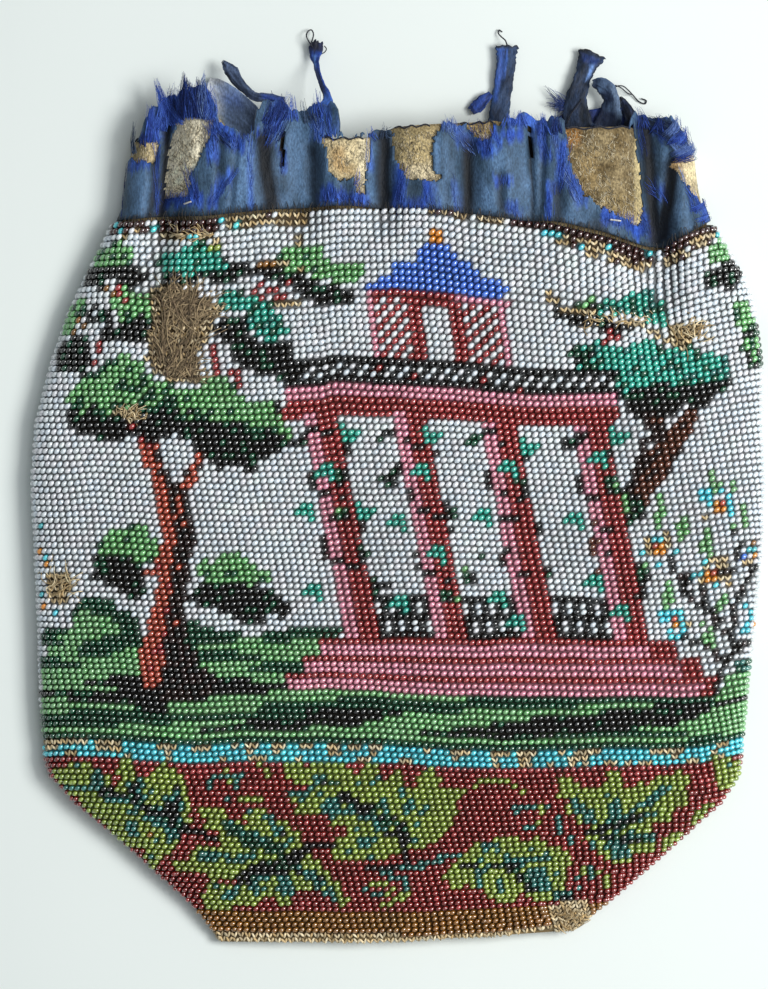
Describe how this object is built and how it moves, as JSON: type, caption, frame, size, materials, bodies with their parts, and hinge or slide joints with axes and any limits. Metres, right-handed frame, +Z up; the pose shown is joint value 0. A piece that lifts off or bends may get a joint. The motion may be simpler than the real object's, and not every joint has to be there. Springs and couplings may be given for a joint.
{
  "type": "reticule",
  "caption": "Bead-knitted drawstring bag lying flat on its back, with a worn silk band over leather round its open mouth and torn silk tabs beyond it.",
  "frame": {"origin": "middle of the bag's outline on the surface it lies on", "axes": "+X across the bag to its right side, +Y from the base seam towards the mouth, +Z up out of the front face"},
  "size_m": [0.174, 0.2148, 0.017],
  "materials": {
    "bead_knit": "knitted thread covered with small opaque glossy glass beads",
    "leather": "worn suede",
    "silk": "faded frayed silk"
  },
  "bodies": {
    "root": {"beaded_body": "bead_knit", "leather_band": "leather", "silk_band": "silk", "silk_tab_left": "silk", "silk_tab_twisted": "silk", "silk_tab_centre": "silk", "silk_tab_centre_tail": "silk", "silk_tab_right": "silk", "silk_tab_right_loop": "silk", "silk_flap_right": "silk"}
  },
  "joints": []
}
